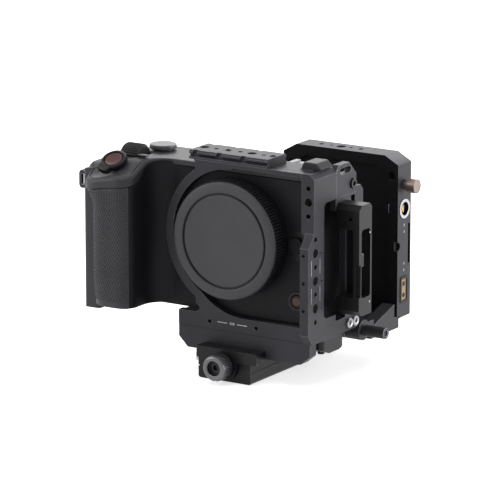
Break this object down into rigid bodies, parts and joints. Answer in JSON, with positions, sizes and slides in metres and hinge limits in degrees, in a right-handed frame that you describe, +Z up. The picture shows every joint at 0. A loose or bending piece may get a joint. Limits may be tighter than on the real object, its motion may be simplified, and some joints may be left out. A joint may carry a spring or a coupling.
{
  "type": "cinema camera rig",
  "caption": "Compact video camera in a half cage on a quick-release base, with a side cable guard and a rear battery plate on a tilting arm.",
  "frame": {"origin": "mouth of the tripod thread in the underside of the clamp block", "axes": "+Z up; +Y towards the back, the lens looks along -Y; +X to the right seen from the front, away from the grip"},
  "size_m": [0.17, 0.141, 0.1313],
  "materials": {
    "painted": "fine matte black anodised and painted aluminium",
    "body": "dark graphite painted cover with a fine grain",
    "deck": "lighter graphite deck, satin",
    "rubber": "dimpled grip rubber",
    "cap": "fine-grained moulded cap",
    "black": "satin black moulding",
    "steel": "bright machined steel",
    "red": "dark red button",
    "knob": "grey anodised knob",
    "copper": "copper-brown anodised button",
    "board": "green circuit board"
  },
  "bodies": {
    "camera": {"body_front_cover": "body", "body_rear_cover": "body", "top_cover": "deck", "grip_core": "black", "grip_rubber": "rubber", "rear_shell": "body", "strap_lugs": "black", "mount_boss": "body", "lens_mount": "steel", "mount_screws": "steel", "sensor_unit": "black", "main_board": "board", "battery_pack": "black", "fan_housing": "black", "accessory_shoe": "steel", "record_ring": "black", "cage_front": "painted", "cage_side": "painted", "cage_top": "painted", "cage_base": "painted", "top_rail": "painted", "rail_screws": "steel", "base_pad": "rubber", "camera_screw": "steel", "cage_screws": "painted", "side_screws": "steel", "strap_plate": "painted", "bracket_plate": "painted", "plate_screw": "steel", "port_guard": "painted", "guard_screws": "steel", "slide_plate": "painted", "clamp_block": "painted"},
    "cap": {"body_cap": "cap"},
    "record": {"record_button": "red"},
    "power": {"power_lever": "black"},
    "wheel": {"front_wheel": "black"},
    "dial": {"top_dial": "deck"},
    "deck_button": {"top_button": "deck"},
    "front_record": {"front_record_button": "red"},
    "release": {"lens_release": "body"},
    "display": {"screen": "black"},
    "thumb_wheel": {"rear_wheel": "black"},
    "menu": {"menu_button": "body"},
    "play": {"play_button": "body"},
    "door": {"battery_door": "body"},
    "port_flap": {"port_door": "rubber"},
    "jaw": {"clamp_jaw": "painted"},
    "knob": {"clamp_knob": "knob"},
    "lock_lever": {"lever": "painted"},
    "safety": {"safety_button": "steel"},
    "tongue": {"cable_tongue": "black"},
    "battery_mount": {"battery_arm": "painted", "battery_shell": "painted", "battery_receiver": "painted", "contact_block": "black", "plate_sockets": "steel"},
    "hinge_pin": {"lock_pin": "painted"},
    "plate_release": {"release_button": "copper"},
    "latch": {"battery_latch": "steel"}
  },
  "joints": [
    {"name": "cap_pull", "type": "slide", "parent": "camera", "child": "cap", "axis": [0, -1, 0], "range_m": [0, 0.03]},
    {"name": "record_press", "type": "slide", "parent": "camera", "child": "record", "axis": [0, 0.5, -0.866], "range_m": [0, 0.0009], "stiffness_N_per_m": 800},
    {"name": "power_turn", "type": "hinge", "parent": "camera", "child": "power", "pos_m": [-0.073, -0.0323, 0.11953], "axis": [0, -0.5, 0.866], "range_deg": [0, 30]},
    {"name": "wheel_spin", "type": "hinge", "parent": "camera", "child": "wheel", "pos_m": [-0.071, -0.0148, 0.1199], "axis": [1, 0, 0], "continuous": true},
    {"name": "dial_turn", "type": "hinge", "parent": "camera", "child": "dial", "pos_m": [-0.062, 0.001, 0.1227], "axis": [0, 0, 1], "continuous": true},
    {"name": "deck_button_press", "type": "slide", "parent": "camera", "child": "deck_button", "axis": [0, 0, -1], "range_m": [0, 0.0005], "stiffness_N_per_m": 800},
    {"name": "front_record_press", "type": "slide", "parent": "camera", "child": "front_record", "axis": [0, 1, 0], "range_m": [0, 0.0005], "stiffness_N_per_m": 800},
    {"name": "release_press", "type": "slide", "parent": "camera", "child": "release", "axis": [0, 1, 0], "range_m": [0, 0.0006], "stiffness_N_per_m": 800},
    {"name": "screen_open", "type": "hinge", "parent": "camera", "child": "display", "pos_m": [0.0406, 0.0336, 0.0823], "axis": [0, 0, -1], "range_deg": [0, 23]},
    {"name": "thumb_wheel_turn", "type": "hinge", "parent": "camera", "child": "thumb_wheel", "pos_m": [-0.069, 0.02, 0.0763], "axis": [0, 1, 0], "continuous": true},
    {"name": "menu_press", "type": "slide", "parent": "camera", "child": "menu", "axis": [0, -1, 0], "range_m": [0, 0.0005], "stiffness_N_per_m": 800},
    {"name": "play_press", "type": "slide", "parent": "camera", "child": "play", "axis": [0, -1, 0], "range_m": [0, 0.0005], "stiffness_N_per_m": 800},
    {"name": "door_open", "type": "hinge", "parent": "camera", "child": "door", "pos_m": [-0.0584, -0.02, 0.0384], "axis": [0, -1, 0], "range_deg": [0, 85]},
    {"name": "port_flap_open", "type": "hinge", "parent": "camera", "child": "port_flap", "pos_m": [0.046, -0.0086, 0.0823], "axis": [0, 0, -1], "range_deg": [0, 75]},
    {"name": "jaw_slide", "type": "slide", "parent": "camera", "child": "jaw", "axis": [0, -1, 0], "range_m": [0, 0.0015]},
    {"name": "knob_turn", "type": "hinge", "parent": "jaw", "child": "knob", "pos_m": [0, -0.037, 0.01], "axis": [0, -1, 0], "range_deg": [0, 540]},
    {"name": "lever_turn", "type": "hinge", "parent": "camera", "child": "lock_lever", "pos_m": [0.05105, -0.008, 0.0233], "axis": [0, 0, -1], "range_deg": [0, 60]},
    {"name": "safety_press", "type": "slide", "parent": "camera", "child": "safety", "axis": [1, 0, 0], "range_m": [0, 0.001], "stiffness_N_per_m": 800},
    {"name": "tongue_slide", "type": "slide", "parent": "camera", "child": "tongue", "axis": [0, 1, 0], "range_m": [0, 0.004]},
    {"name": "arm_tilt", "type": "hinge", "parent": "camera", "child": "battery_mount", "pos_m": [0.03, 0.0345, 0.0235], "axis": [-1, 0, 0], "range_deg": [0, 18]},
    {"name": "pin_turn", "type": "hinge", "parent": "camera", "child": "hinge_pin", "pos_m": [0.0547, 0.0345, 0.0235], "axis": [1, 0, 0], "range_deg": [0, 180]},
    {"name": "plate_release_press", "type": "slide", "parent": "battery_mount", "child": "plate_release", "axis": [-1, 0, 0], "range_m": [0, 0.0024], "stiffness_N_per_m": 800},
    {"name": "latch_drop", "type": "slide", "parent": "battery_mount", "child": "latch", "axis": [0, 0, -1], "range_m": [0, 0.002]}
  ],
  "couplings": [
    {"joint": "jaw_slide", "follows": "knob_turn", "m_per_rad": 0.00015915},
    {"joint": "latch_drop", "follows": "plate_release_press", "ratio": 0.83333}
  ]
}
